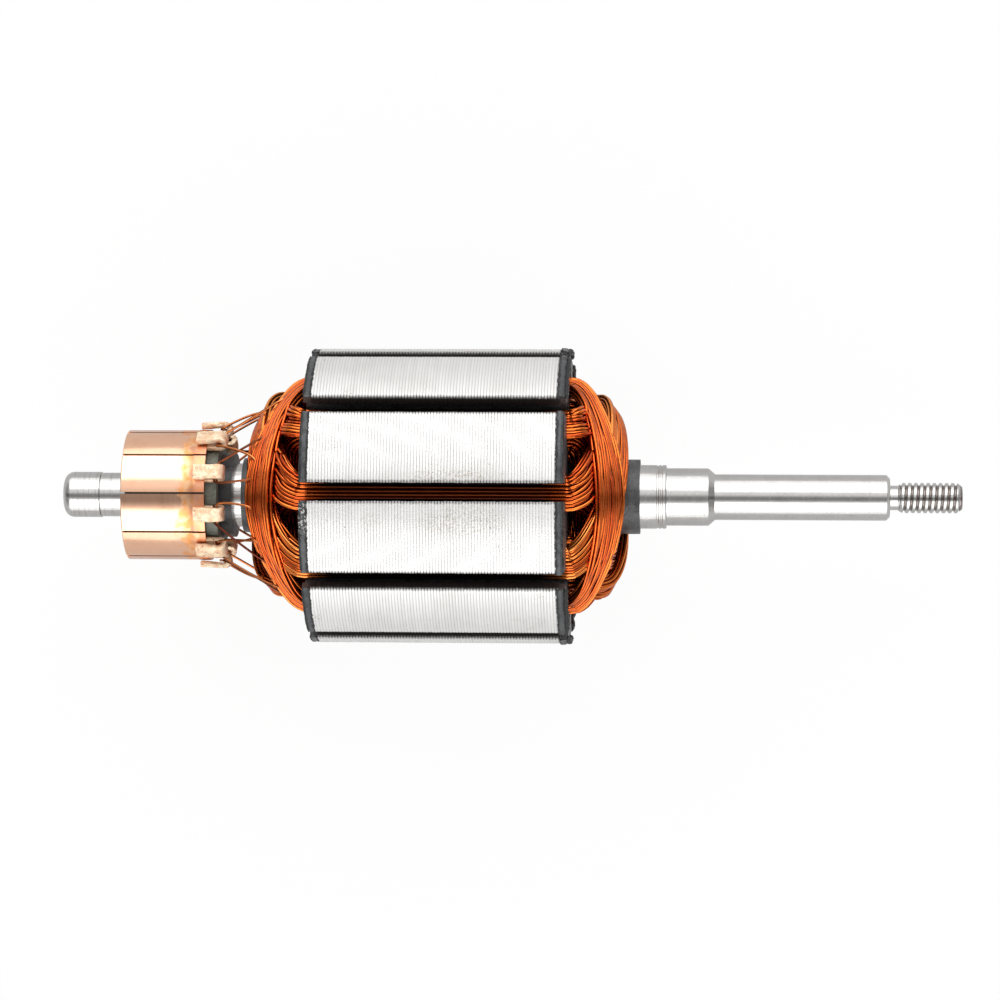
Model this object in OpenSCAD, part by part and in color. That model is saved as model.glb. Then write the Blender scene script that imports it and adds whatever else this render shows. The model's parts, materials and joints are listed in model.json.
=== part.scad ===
// Wound armature of a small brushed motor: shaft, slotted core, ten coils and a ten-bar commutator.
// Axis along X, threaded end towards +X, origin on the axis at the shoulder of the drive-end bearing seat.
// Slot 1 opens towards +Z; angles run from +Z towards +Y. Millimetres.

/* [Shaft] */
// Diameter of the journal at the commutator end
journal_d = 9.525; // [8:0.005:10.5]
// Diameter of the shaft body through the core
body_d = 13.3; // [12.4:0.05:14.2]
// Diameter of the drive-end bearing seat
seat_d = 12; // [10:0.05:12.3]
// Length of the drive-end bearing seat
seat_len = 10; // [7:0.1:12]
// Diameter of the output shaft
output_d = 9.525; // [8:0.005:9.8]
// Distance from the bearing shoulder to the end of the output shaft
output_end = 46.4; // [38:0.1:52]
// Diameter of the neck behind the thread
neck_d = 5.1; // [4:0.05:5.4]
// Length of the neck
neck_len = 1.9; // [1:0.1:4]
// Outside diameter of the thread
thread_d = 6.35; // [6:0.05:7]
// Length of the thread
thread_len = 13.1; // [8:0.1:18]
// Length of shaft that stands out of the commutator's free face
journal_len = 13.7; // [10:0.1:20]

/* [Core] */
// Outside diameter of the laminations
core_d = 61.6; // [60.6:0.1:62.6]
// Reach of the drive-side face of the laminations from the bearing shoulder
core_near = 21.5; // [20.5:0.1:22.5]
// Length of the stack
core_len = 50.9; // [46:0.1:52]
// Width of a tooth's stem
tooth_w = 5.9; // [5.4:0.05:6.1]
// Width of a slot mouth
mouth_w = 3.76; // [3:0.02:4.5]
// Thickness of a tooth tip beside the slot mouth
tip_t = 2.1; // [1.6:0.05:2.6]
// Depth below the outside at which the teeth begin to widen into their tips
tip_deep = 3.6; // [3.2:0.05:4]
// Distance of the centre of the slot's round bottom from the sleeves
floor_out = 6.1; // [5.9:0.05:6.3]

/* [Insulation] */
// Thickness of the coating on each end face
coat_t = 1.5; // [1:0.05:1.8]
// Thickness of the slot lining
liner_t = 0.45; // [0.3:0.05:0.5]
// Height of the bead of coating that laps over the core's edge
lap_h = 0.25; // [0.1:0.05:0.4]
// Outside diameter of both insulating sleeves
sleeve_d = 15.6; // [15:0.05:15.8]
// Reach of the commutator-side sleeve beyond the laminations
comm_sleeve_len = 16.2; // [14.5:0.1:16.8]
// Reach of the drive-side sleeve beyond the laminations
drive_sleeve_len = 16; // [13:0.1:17]

/* [Commutator] */
// Diameter of the turned brush track
comm_d = 27.2; // [26:0.05:28]
// Length of bare shaft between the commutator-side sleeve and the commutator's black ring
bare_len = 1.8; // [0.6:0.1:4]
// Length of the turned brush track
track_len = 14.8; // [13:0.1:15.2]
// Length of the copper bars without their hooks
bar_len = 17.5; // [16.8:0.1:18]
// Thickness of a bar
bar_t = 3.1; // [2.6:0.05:3.4]
// Width of the slit between two bars
slit_w = 0.45; // [0.3:0.01:0.7]
// Depth of the slit down to the resin
slit_depth = 1.1; // [0.6:0.05:1.6]
// Width of a hook
hook_w = 3.3; // [2.8:0.05:3.8]
// Thickness of a hook
hook_t = 1.15; // [0.9:0.05:1.25]
// Height of a hook's back over the brush track
hook_rise = 1.8; // [1.7:0.05:2.1]
// Reach of the hook's tip back from its bend
hook_len = 6.6; // [5.6:0.1:7]
// Distance that the hooks stand out beyond the bars' ends
hook_out = 4.3; // [3.9:0.1:4.7]
// Diameter of the black ring behind the commutator
collar_d = 17.6; // [16.6:0.1:18.6]

/* [Winding] */
// Number of slots, bars and coils
slots = 10; // [10:10:10]
// Diameter of the magnet wire
wire_d = 0.8; // [0.6:0.01:0.9]
// Extra overhang of the commutator-side end turns against the drive side
comm_side_fuller = 1.12; // [1:0.01:1.13]

/* [Hidden] */
$fa = 4;
$fs = 0.25;
pitch = 360 / slots;
body_r = body_d / 2;
sleeve_r = sleeve_d / 2;
core_r = core_d / 2;
core_far = core_near + core_len;
comm_r = comm_d / 2;
// Journal from its groove line into the commutator
journal_r = journal_d / 2;
spindle_r = journal_r - 0.16;
// Black ring, shoulder of the shaft behind the commutator's hub, bars' ends and free face
collar_len = 2.8;
hub_tail = 2.3;
hub_back = core_far + comm_sleeve_len + bare_len + collar_len;
bar_end = hub_back + hub_tail;
comm_face = bar_end + bar_len;
tip_reach = comm_face + journal_len;
groove_at = comm_face + 5.5;
hook_reach = bar_end - hook_out;
bar_in = comm_r - bar_t;
anchor_deep = 1.5;
slit_floor = comm_r - slit_depth;
// Hook, drawn along the axis: back, wire gap and neck
hook_back = comm_r + hook_rise;
wire_gap = 1;
neck_top = hook_back - hook_t - wire_gap;
neck_t = 1.1;
bend_r = hook_t + wire_gap / 2;
bend_x = -hook_reach - bend_r;
bend_c = hook_back - bend_r;
tip_r = core_r - tip_deep;
slot_floor = sleeve_r + floor_out;
// Half-width of a slot at radius r, its sides parallel to the teeth
function slot_half(r, inset) = r * tan(pitch / 2) - (tooth_w / 2 + inset) / cos(pitch / 2);
function floor_r(inset) = slot_half(slot_floor, inset) * cos(pitch / 2);

// Places a drawing of the cross-section (Y across, Z up) along the axis
module along_axis(from, to) {
    translate([from, 0, 0]) rotate([90, 0, 90]) linear_extrude(to - from) children();
}

// Turns a drawing of radius against reach about the axis
module turned() {
    rotate([0, 90, 0]) rotate_extrude() children();
}

module ring_line(from, to, inner, outer) {
    translate([inner, from]) square([outer - inner, to - from]);
}

module shaft_line() {
    ring_line(-tip_reach, -groove_at - 4, 0, journal_r - 2);
    ring_line(-tip_reach + 2, -groove_at - 0.35, 0, journal_r);
    translate([journal_r - 2, 2 - tip_reach]) circle(2, $fn = 60);
    ring_line(-groove_at - 1, -hub_back, 0, spindle_r);
    ring_line(-hub_back, -1.9, 0, body_r);
    ring_line(-2, 0, 0, body_r - 0.12);
    ring_line(-1.55, -1.15, 0, body_r);
    ring_line(-0.8, 0, 0, body_r);
    polygon([[0, -1], [seat_d / 2, -1], [seat_d / 2, seat_len - 1.3],
        [output_d / 2 + 0.2, seat_len], [0, seat_len]]);
    polygon([[0, seat_len - 1], [output_d / 2, seat_len - 1], [output_d / 2, output_end - 0.7],
        [output_d / 2 - 0.7, output_end], [0, output_end]]);
    ring_line(output_end - 1, output_end + neck_len + 1, 0, neck_d / 2);
    polygon([[0, output_end + neck_len], [neck_d / 2, output_end + neck_len],
        [thread_d / 2, output_end + neck_len + (thread_d - neck_d) / 2],
        [thread_d / 2, output_end + neck_len + thread_len - 0.8],
        [thread_d / 2 - 0.8, output_end + neck_len + thread_len], [0, output_end + neck_len + thread_len]]);
}

// One turned piece: journal, body, bearing seat, output shaft, neck and thread
module shaft() {
    color("silver") turned() shaft_line();
}

// Outline of one slot; inset shrinks it by the lining
module slot_outline(inset, reach) {
    low = slot_floor;
    top = tip_r - inset;
    neck = core_r - tip_t;
    half = mouth_w / 2;
    polygon([[-slot_half(low, inset), low], [slot_half(low, inset), low], [slot_half(top, inset), top],
        [half, neck], [half, reach], [-half, reach], [-half, neck], [-slot_half(top, inset), top]]);
    translate([0, low]) circle(floor_r(inset), $fn = 48);
}

module core_outline(outer, bore, inset) {
    difference() {
        circle(outer, $fn = 180);
        circle(bore, $fn = 90);
        for (i = [0:slots - 1]) rotate(i * pitch) slot_outline(inset, outer + tip_t);
    }
}

// Bonded stack of slotted steel discs
module lamination_stack() {
    color("gainsboro") along_axis(-core_far, -core_near) core_outline(core_r, body_r, 0);
}

// Lining of one slot, open at the mouth
module liner_outline() {
    difference() {
        slot_outline(0, core_r - tip_t + 0.2);
        slot_outline(liner_t, core_r + 1);
    }
}

// One moulded coating: both end faces, the ten slot linings and the bead over the drive-side edge
module core_insulation() {
    near_face = -core_near + coat_t;
    far_face = -core_far - coat_t;
    color("dimgray") {
        along_axis(far_face, -core_far) core_outline(core_r - 0.1, sleeve_r, liner_t);
        along_axis(-core_near, near_face) core_outline(core_r - 0.1, sleeve_r, liner_t);
        along_axis(-core_near, near_face - 0.4) core_outline(core_r + lap_h, core_r - 2, liner_t);
        along_axis(-core_near - 1, -core_near + 0.1) difference() {
            circle(core_r + lap_h, $fn = 180);
            circle(core_r, $fn = 180);
            for (i = [0:slots - 1])
                rotate(i * pitch) translate([-mouth_w / 2, 0]) square([mouth_w, core_d]);
        }
        along_axis(-core_far - 0.6, -core_near + 0.6)
            for (i = [0:slots - 1]) rotate(i * pitch) liner_outline();
    }
}

module tube(from, to, inner, outer) {
    turned() ring_line(from, to, inner, outer);
}

// Insulating tube on the shaft under the commutator-side end turns
module comm_end_sleeve() {
    color("dimgray") tube(-core_far - comm_sleeve_len, -core_far, body_r, sleeve_r);
}

// Insulating tube on the shaft under the drive-side end turns
module drive_end_sleeve() {
    color("dimgray") tube(-core_near, -core_near + drive_sleeve_len, body_r, sleeve_r);
}

// Dovetail that holds a bar in the resin
module anchor_line() {
    polygon([[bar_in + 1, -bar_end - 0.63 * bar_len], [bar_in - anchor_deep, -bar_end - 0.71 * bar_len],
        [bar_in - anchor_deep, -bar_end - 0.26 * bar_len], [bar_in + 1, -bar_end - 0.34 * bar_len]]);
}

// Moulded resin body, with a rib under every slit
module commutator_hub() {
    color("darkslategray") {
        turned() difference() {
            union() {
                ring_line(0.6 - comm_face, -bar_end, spindle_r, bar_in);
                ring_line(-bar_end, -hub_back, spindle_r, neck_top - neck_t - 0.5);
            }
            anchor_line();
        }
        for (i = [0:slots - 1]) rotate([i * pitch, 0, 0])
            translate([0.8 - comm_face, -slit_w / 2, bar_in - anchor_deep - 0.2])
            cube([bar_len - 0.8, slit_w, slit_floor - bar_in + anchor_deep + 0.2]);
    }
}

module hook_line() {
    tip_x = bend_x - hook_len + bend_r;
    difference() {
        union() {
            translate([bend_x, bend_c]) circle(bend_r, $fn = 48);
            polygon([[bend_x, bend_c], [bend_x, hook_back], [tip_x + 0.6, hook_back - 0.25],
                [tip_x, hook_back - 0.75], [tip_x, comm_r + 0.1],
                [-bar_end - 0.1, comm_r + 0.1], [-bar_end - 0.1, bend_c]]);
            translate([-bar_end - 1, neck_top - neck_t]) square([bend_x + bar_end + 1, neck_t + 0.3]);
        }
        translate([bend_x, bend_c]) circle(wire_gap / 2, $fn = 32);
        polygon([[bend_x, neck_top], [bend_x, neck_top + wire_gap],
            [bend_x - 1.4, neck_top + wire_gap - 0.05],
            [-bar_end - 0.1, comm_r + 0.15], [-bar_end + 0.05, neck_top]]);
    }
}

// Copper bar i with its bent-back hook, one piece
module bar(i) {
    color("peru") rotate([-(i + 0.5) * pitch, 0, 0]) {
        difference() {
            rotate([180 - pitch / 2, 0, 0]) rotate([0, 90, 0]) bar_sector();
            for (way = [-1, 1]) rotate([way * pitch / 2, 0, 0])
                translate([-comm_face - 1, -slit_w / 2, 0]) cube([bar_len + hook_out + 1, slit_w, comm_d]);
        }
        translate([0, hook_w / 2, 0]) rotate([90, 0, 0]) linear_extrude(hook_w) hook_line();
    }
}

module bar_sector() {
    rotate_extrude(angle = pitch) union() {
        polygon([[bar_in, 0.35 - comm_face], [bar_in, -bar_end], [comm_r + 0.1, -bar_end],
            [comm_r + 0.1, track_len - comm_face + 0.2], [comm_r, track_len - comm_face],
            [comm_r, 0.35 - comm_face], [comm_r - 0.35, -comm_face], [bar_in + 0.35, -comm_face]]);
        anchor_line();
    }
}

// Black ring between the commutator and the bare shaft
module commutator_collar() {
    color("black") tube(-hub_back, collar_len - hub_back, body_r, collar_d / 2);
}

// Winding. Coil i is centred on angle i * pitch and lies in the slots two pitches either side of it.
// Opposite coils were wound together; the layer is the order in which the pairs went on, 0 first.
function layer_of(i) = (5 - i % 5) % 5 == 0 ? 4 : 4 - i % 5;
span = 2 * pitch;
// The winding's shape is given for a core of 61.6 mm on sleeves of 15.6 mm, and is fitted to the sizes above.
fit = core_d / 61.6;
// Radius of a coil side in the slot's lower and upper half, and the half sizes of its section there
function side_r(up) = [18.2, 23.5][up];
function side_w(up) = [2.05, 3.45][up];
function side_h(up) = [2.7, 1.5][up];
function side_flare(up) = [0.42, 0.13][up];
// Whether a layer's leading and trailing sides lie in the upper half
function lead_side_upper(k) = [0, 1, 1, 1, 1][k];
function trail_side_upper(k) = [0, 0, 0, 0, 1][k];
// End turn of each layer at its middle: overhang, height over the axis, lean and half width of its section
function turn_reach(k) = [2.2, 5.96, 8.2, 9.77, 8.65][k];
function turn_height(k) = [10.16, 10.33, 11.82, 12.21, 18.18][k];
function turn_lean(k) = [80, 32.5, 11, 22.6, 29.7][k];
function turn_half_w(k) = [1.98, 2.54, 3.93, 4.71, 4.61][k];
function lead_side_rise(k) = [4.15, 4.45, 4.17, 3.28, 5.25][k];
function trail_side_rise(k) = [4.17, 3.04, 1.76, 4.61, 5.55][k];
function lead_side_run(k) = [15.3, 19.7, 19.34, 13.92, 14.75][k];
function trail_side_run(k) = [6.58, 10.15, 13.86, 20.26, 14.54][k];
function turn_slope(k) = [-0.094, -0.138, -0.098, 0.057, -0.003][k];
function turn_climb(k) = [0.056, 0.192, 0.172, 0.048, -0.018][k];
// Half width times half height of a coil's section
function section_area() = 3.9;
ring_steps = 6;
around = 20;

function mix(a, b, w) = a + (b - a) * w;
function ease(t) = t * t * (3 - 2 * t);
function unit(v) = v / norm(v);
function powered(v, e) = sign(v) * pow(abs(v), e);
function curve(p, t) = pow(1 - t, 3) * p[0] + 3 * pow(1 - t, 2) * t * p[1]
    + 3 * (1 - t) * t * t * p[2] + pow(t, 3) * p[3];
function heading(p, t) = unit(pow(1 - t, 2) * (p[1] - p[0]) + 2 * (1 - t) * t * (p[2] - p[1])
    + t * t * (p[3] - p[2]));
function side_run(k, side) = side < 0 ? lead_side_run(k) : trail_side_run(k);
// Half an end turn from the slot (t = 0) to the middle of the chord (t = 1); side is -1 or 1
function half_turn(k, side, up) = [
    [side * side_r(up) * sin(span), side_r(up) * cos(span), 0],
    [side * side_r(up) * sin(span), side_r(up) * cos(span),
        side < 0 ? lead_side_rise(k) : trail_side_rise(k)],
    [side * side_run(k, side), turn_height(k), turn_reach(k)]
        + side * side_run(k, side) * [0, turn_slope(k), turn_climb(k)],
    [0, turn_height(k), turn_reach(k)]];
// Ring of points of a coil's section
function section(k, side, up, t) =
    let (p = half_turn(k, side, up), w = ease(t), along = -side * heading(p, t),
        lean = turn_lean(k),
        slot_dir = [side * cos(span), -sin(span), 0],
        mid_dir = [0, -cos(lean), sin(lean)],
        blend = mix(slot_dir, mid_dir, w),
        wide = unit(blend - (blend * along) * along),
        high = cross(wide, along),
        a = exp(mix(ln(side_w(up)), ln(turn_half_w(k)), w)),
        b = exp(mix(ln(side_h(up)), ln(section_area() / turn_half_w(k)), w)),
        flare = (1 - w) * side_flare(up))
    [for (j = [0:around - 1])
        let (f = j % 2 == 0 ? 1 : 0.94, x = f * powered(cos(j * 360 / around), 2 / 3),
            y = f * powered(sin(j * 360 / around), 2 / 3))
        curve(p, t) + x * a * (1 + flare * y) * wide + y * b * high];
function end_rings(k) = [for (j = [0:2 * ring_steps])
    j <= ring_steps ? section(k, -1, lead_side_upper(k), j / ring_steps)
        : section(k, 1, trail_side_upper(k), 2 - j / ring_steps)];
// Distance across, distance up and reach of a point, turned about the axis
function turned_by(v, angle) =
    [v[2], v[1] * sin(angle) + v[0] * cos(angle), v[1] * cos(angle) - v[0] * sin(angle)];
// Factor that keeps a point at radius r in its place between the sleeves and the core's outside
function drawn(r) = (sleeve_r + (r - 7.8) * (core_r - sleeve_r) / (30.8 - 7.8)) / r;
// Chord, height and overhang of a point of the winding, in the part's own axes
function placed(v, angle, x0, scale) = let (s = drawn(norm([v[0], v[1]])))
    turned_by([s * v[0], s * v[1], x0 + scale * fit * v[2]], angle);
function coil_rings(i) = let (rings = end_rings(layer_of(i)), n = len(rings)) [
    for (ring = rings) [for (v = ring) placed(v, i * pitch, -core_near + coat_t, 1)],
    for (j = [n - 1:-1:0]) [for (v = rings[j]) placed(v, i * pitch, -core_far - coat_t, -comm_side_fuller)]];

// Wound coil i, a closed loop of bundled wire
module coil(i) {
    rings = coil_rings(i);
    n = len(rings);
    color("chocolate") polyhedron(
        points = [for (ring = rings) each ring],
        faces = [for (j = [0:n - 1], a = [0:around - 1], half = [0, 1])
            let (b = (a + 1) % around, m = (j + 1) % n)
            half == 0 ? [j * around + a, j * around + b, m * around + b]
                : [j * around + a, m * around + b, m * around + a]],
        convexity = 6);
}

// Leads. Each hook holds two wire ends; one runs off towards larger angles and one towards smaller.
// Coil that each of the first five hooks' leads join, which half of its end turn, and how far along it
lead_coil = [0, 0, 1, 5, 5];
lead_half = [1, 1, 1, -1, -1];
lead_on_up = [0.66, 0.36, 0.34, 0.7, 0.92];
lead_on_down = [0.92, 0.77, 0.62, 0.36, 0.58];
lead_sides = 6;
lead_steps = 6;
wire_bed = neck_top + wire_gap / 2;
// Gap between two leads, stub beyond the hook, and the lengths that shape a lead's way to its coil
lead_clear = 0.06;
lead_stub = 0.3;
lead_out = 0.8;
lead_swing = 2.4;
lead_lift = 1.3;
lead_dip = 0.2;

// Point at a hook: reach along the axis, offset across the hook and radius
function at_hook(j, x, s, r) = turned_by([s, r, x], (j + 0.5) * pitch);
// Point on the outer face of a coil's end turn on the commutator side
function on_coil(i, side, t, out) =
    let (k = layer_of(i), up = side < 0 ? lead_side_upper(k) : trail_side_upper(k),
        p = half_turn(k, side, up), w = ease(t),
        along = -side * heading(p, t),
        blend = mix([side * cos(span), -sin(span), 0], [0, -cos(turn_lean(k)), sin(turn_lean(k))], w),
        wide = unit(blend - (blend * along) * along), high = cross(wide, along),
        a = exp(mix(ln(side_w(up)), ln(turn_half_w(k)), w)),
        b = exp(mix(ln(side_h(up)), ln(section_area() / turn_half_w(k)), w)),
        spot = curve(p, t) + 0.62 * a * wide + (b + out) * high)
    placed(spot, i * pitch, -core_far - coat_t, -comm_side_fuller);
function lead_path(j, way) =
    let (m = j % 5, i = (lead_coil[m] + (j < 5 ? 0 : 5)) % 10,
        x = bend_x - (way > 0 ? 0 : wire_d + lead_clear),
        where = way > 0 ? lead_on_up[m] : lead_on_down[m],
        last = on_coil(i, lead_half[m], where, wire_d / 2 + lead_clear),
        first = at_hook(j, x, way * (hook_w / 2 + lead_stub), wire_bed),
        next = at_hook(j, x + lead_out, way * (hook_w / 2 + lead_swing),
            wire_bed + (way > 0 ? -lead_dip : lead_lift)),
        lift = at_hook(j, 0, 0, way > 0 ? lead_dip / 2 : lead_lift),
        before = last + lift + 0.35 * (next - last))
    [at_hook(j, x, -way * (hook_w / 2 + lead_stub), wire_bed),
        for (s = [0:lead_steps]) curve([first, next, before, last], s / lead_steps)];
function tube_ring(path, n, j) =
    let (a = path[max(n - 1, 0)], b = path[min(n + 1, len(path) - 1)], run = unit(b - a),
        out = at_hook(j, 0, 0, 1), wide = unit(cross(run, out)), high = cross(wide, run))
    [for (s = [0:lead_sides - 1]) path[n]
        + wire_d / 2 * (cos(s * 360 / lead_sides) * wide + sin(s * 360 / lead_sides) * high)];

// One lead from its stub in the hook to the coil
module lead(j, way) {
    path = lead_path(j, way);
    n = len(path);
    polyhedron(
        points = [for (r = [0:n - 1]) each tube_ring(path, r, j)],
        faces = [[for (s = [lead_sides - 1:-1:0]) s],
            for (r = [0:n - 2], s = [0:lead_sides - 1], half = [0, 1])
                let (q = (s + 1) % lead_sides)
                half == 0 ? [r * lead_sides + s, r * lead_sides + q, (r + 1) * lead_sides + q]
                    : [r * lead_sides + s, (r + 1) * lead_sides + q, (r + 1) * lead_sides + s],
            [for (s = [0:lead_sides - 1]) (n - 1) * lead_sides + s]],
        convexity = 4);
}

// The twenty wire ends that run from the hooks to the coils
module leads() {
    color("saddlebrown") for (j = [0:slots - 1], way = [-1, 1]) lead(j, way);
}

// Piece to show, or all

shaft();
lamination_stack();
core_insulation();
comm_end_sleeve();
drive_end_sleeve();
commutator_hub();
commutator_collar();
bar(0);  // bar_01
bar(1);  // bar_02
bar(2);  // bar_03
bar(3);  // bar_04
bar(4);  // bar_05
bar(5);  // bar_06
bar(6);  // bar_07
bar(7);  // bar_08
bar(8);  // bar_09
bar(9);  // bar_10
coil(0);  // coil_01
coil(1);  // coil_02
coil(2);  // coil_03
coil(3);  // coil_04
coil(4);  // coil_05
coil(5);  // coil_06
coil(6);  // coil_07
coil(7);  // coil_08
coil(8);  // coil_09
coil(9);  // coil_10
leads();
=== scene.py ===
import json
import math

import bpy
import numpy as np
from mathutils import Vector, Matrix, noise

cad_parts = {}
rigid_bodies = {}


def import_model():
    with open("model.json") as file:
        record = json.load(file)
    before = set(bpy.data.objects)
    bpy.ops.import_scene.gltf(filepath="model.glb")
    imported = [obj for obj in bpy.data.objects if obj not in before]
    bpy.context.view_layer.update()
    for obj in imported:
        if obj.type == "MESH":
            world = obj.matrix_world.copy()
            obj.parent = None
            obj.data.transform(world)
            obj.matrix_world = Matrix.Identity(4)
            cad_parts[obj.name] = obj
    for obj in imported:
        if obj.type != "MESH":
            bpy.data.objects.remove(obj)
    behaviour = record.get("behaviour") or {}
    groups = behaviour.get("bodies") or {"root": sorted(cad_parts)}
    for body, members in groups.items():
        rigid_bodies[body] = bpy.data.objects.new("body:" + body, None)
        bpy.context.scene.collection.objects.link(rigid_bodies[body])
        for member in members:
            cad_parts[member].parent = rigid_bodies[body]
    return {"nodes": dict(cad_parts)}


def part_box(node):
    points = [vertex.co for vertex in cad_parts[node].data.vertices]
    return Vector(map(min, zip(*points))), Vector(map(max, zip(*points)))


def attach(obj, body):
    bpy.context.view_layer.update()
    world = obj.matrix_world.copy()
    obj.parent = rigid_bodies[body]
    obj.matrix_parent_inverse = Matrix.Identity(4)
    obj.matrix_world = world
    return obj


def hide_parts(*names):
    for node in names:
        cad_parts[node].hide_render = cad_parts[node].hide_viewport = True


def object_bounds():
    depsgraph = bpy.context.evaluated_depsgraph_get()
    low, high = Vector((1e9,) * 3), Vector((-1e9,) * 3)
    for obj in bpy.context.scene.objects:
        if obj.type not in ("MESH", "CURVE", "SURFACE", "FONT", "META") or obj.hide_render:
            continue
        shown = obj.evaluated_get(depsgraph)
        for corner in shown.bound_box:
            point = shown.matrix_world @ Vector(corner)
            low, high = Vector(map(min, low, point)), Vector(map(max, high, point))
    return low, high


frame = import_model()
cad_low, cad_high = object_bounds()
nodes = frame["nodes"]
MM = 0.001
noise.seed_set(7)                            # Blender seeds noise_vector from the clock otherwise

# ---------------------------------------------------------------- sizes, in mm, as in the part's source
# X runs along the shaft to the drive end, and sizes named NEAR, FAR, FACE and END are measured towards -X
SLOTS = 10                                   # also the number of bars, hooks and coils
PITCH = math.radians(36)
SPAN = math.radians(72)                      # from a coil's middle to each of its slots
CORE_NEAR, CORE_LEN, CORE_R = 21.5, 50.9, 30.8
CORE_FAR = CORE_NEAR + CORE_LEN
COAT_T = 1.5
SHEETS = 82
SHEET_T = CORE_LEN / SHEETS
MOUTH_W = 3.76                               # of the gap between two teeth
MOUTH_HALF = math.asin(MOUTH_W / 2 / CORE_R)
WIRE_D, TURNS, LOCKS = 0.7, 30, 5            # a lock is a group of wires that sway together
LEAD_D = 0.52
# a coil side lies low (0) or high (1) in its slot
SIDE_R = [18.2, 23.5]
SIDE_W = [2.05, 3.45]
SIDE_H = [2.7, 1.5]
SIDE_FLARE = [0.42, 0.13]
# end turns by layer, from 0, wound first, to 4, outermost
LEAD_UPPER = [0, 1, 1, 1, 1]
TRAIL_UPPER = [0, 0, 0, 0, 1]
TURN_REACH = [2.2, 5.96, 8.2, 9.77, 8.65]
TURN_HEIGHT = [10.16, 10.33, 11.82, 12.21, 18.18]
TURN_LEAN = [80, 32.5, 11, 22.6, 29.7]
TURN_HALF_W = [1.98, 2.54, 3.93, 4.71, 5.0]
LEAD_RISE = [4.15, 4.45, 4.17, 3.28, 3.3]
TRAIL_RISE = [4.17, 3.04, 1.76, 4.61, 3.5]
LEAD_RUN = [15.3, 19.7, 19.34, 13.92, 11.8]
TRAIL_RUN = [6.58, 10.15, 13.86, 20.26, 11.8]
TURN_SLOPE = [-0.094, -0.138, -0.098, 0.057, -0.003]
TURN_CLIMB = [0.056, 0.192, 0.172, 0.048, -0.018]
SECTION = 3.9                                # half width times half height of a bundle
FULLER = 1.12                                # the commutator-end turns reach out this much more
COMM_R, COMM_FACE, BAR_LEN, BAR_T = 13.6, 113.0, 17.5, 3.1
BAR_END = COMM_FACE - BAR_LEN
BAR_IN = COMM_R - BAR_T
TRACK_END = COMM_FACE - 14.8
SLIT_W = 0.45
HOOK_REACH = BAR_END - 4.3
HOOK_W, HOOK_T, HOOK_RISE, HOOK_LEN, WIRE_GAP = 3.3, 1.15, 1.8, 6.6, 1.0
HOOK_BACK = COMM_R + HOOK_RISE
NECK_TOP = HOOK_BACK - HOOK_T - WIRE_GAP
BEND_R = HOOK_T + WIRE_GAP / 2
BEND_X = -HOOK_REACH - BEND_R


# ---------------------------------------------------------------- mesh helpers
def add_object(name, data):
    ob = bpy.data.objects.new(name, data)
    bpy.context.scene.collection.objects.link(ob)
    return ob


def make(name, verts, faces, mat, sharp=None, replaces=None):
    """A smooth mesh from points in mm, riding on the root; edges steeper than sharp degrees stay sharp."""
    me = bpy.data.meshes.new(name)
    me.from_pydata((np.asarray(verts, float) * MM).tolist(), [], [tuple(int(i) for i in f) for f in faces])
    me.validate()
    me.update()
    ob = add_object(name, me)
    me.shade_smooth()
    if sharp:
        me.set_sharp_from_angle(angle=math.radians(sharp))
    me.materials.append(mat)
    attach(ob, "root")
    if replaces:
        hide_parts(replaces)
    return ob


def grid_faces(rows, cols, offset=0):
    """Quads between rows of points, each row closed on itself."""
    r = np.arange(rows - 1)[:, None] * cols
    c = np.arange(cols)[None, :]
    a, b = r + c, r + (c + 1) % cols
    return np.stack([a, b, b + cols, a + cols], -1).reshape(-1, 4) + offset


def end_caps(rows, cols, offset=0):
    """The two faces that close a grid's first and last row."""
    last = offset + (rows - 1) * cols
    return [tuple(range(offset + cols - 1, offset - 1, -1)), tuple(range(last, last + cols))]


def lathe(profile, seg):
    """Points of (x, r) turned about X; returns vertices and faces."""
    p = np.array(profile, float)
    th = np.linspace(0, 2 * math.pi, seg, endpoint=False)
    x, r = p[:, :1], p[:, 1:]
    v = np.stack([np.repeat(x, seg, 1), r * np.sin(th), r * np.cos(th)], -1)
    return v.reshape(-1, 3), grid_faces(len(p), seg)[:, ::-1]


def arc(cx, cr, rad, a0, a1, n):
    turns = [math.radians(a0 + (a1 - a0) * i / n) for i in range(n + 1)]
    return [(cx + rad * math.cos(a), cr + rad * math.sin(a)) for a in turns]


def unit(v):
    return v / np.maximum(np.linalg.norm(v, axis=-1, keepdims=True), 1e-9)


def tube_mesh(paths, ups, radius, sides, closed):
    """One mesh of tubes: paths and up vectors are lists of (n, 3) arrays."""
    verts, faces, base = [], [], 0
    ang = np.linspace(0, 2 * math.pi, sides, endpoint=False)
    co, si = np.cos(ang)[None, :, None], np.sin(ang)[None, :, None]
    for p, up in zip(paths, ups):
        if closed:
            tan = unit(np.roll(p, -1, 0) - np.roll(p, 1, 0))
        else:
            tan = unit(np.gradient(p, axis=0))
        side = unit(np.cross(tan, up))
        top = np.cross(side, tan)
        ring = p[:, None, :] + radius * (co * side[:, None, :] + si * top[:, None, :])
        verts.append(ring.reshape(-1, 3))
        faces.append(grid_faces(len(p), sides, base))
        if closed:
            first = base + np.arange(sides)
            last = first + (len(p) - 1) * sides
            faces.append(np.stack([last, np.roll(last, -1), np.roll(first, -1), first], -1))
        base += len(p) * sides
    return np.concatenate(verts), np.concatenate(faces)


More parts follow.
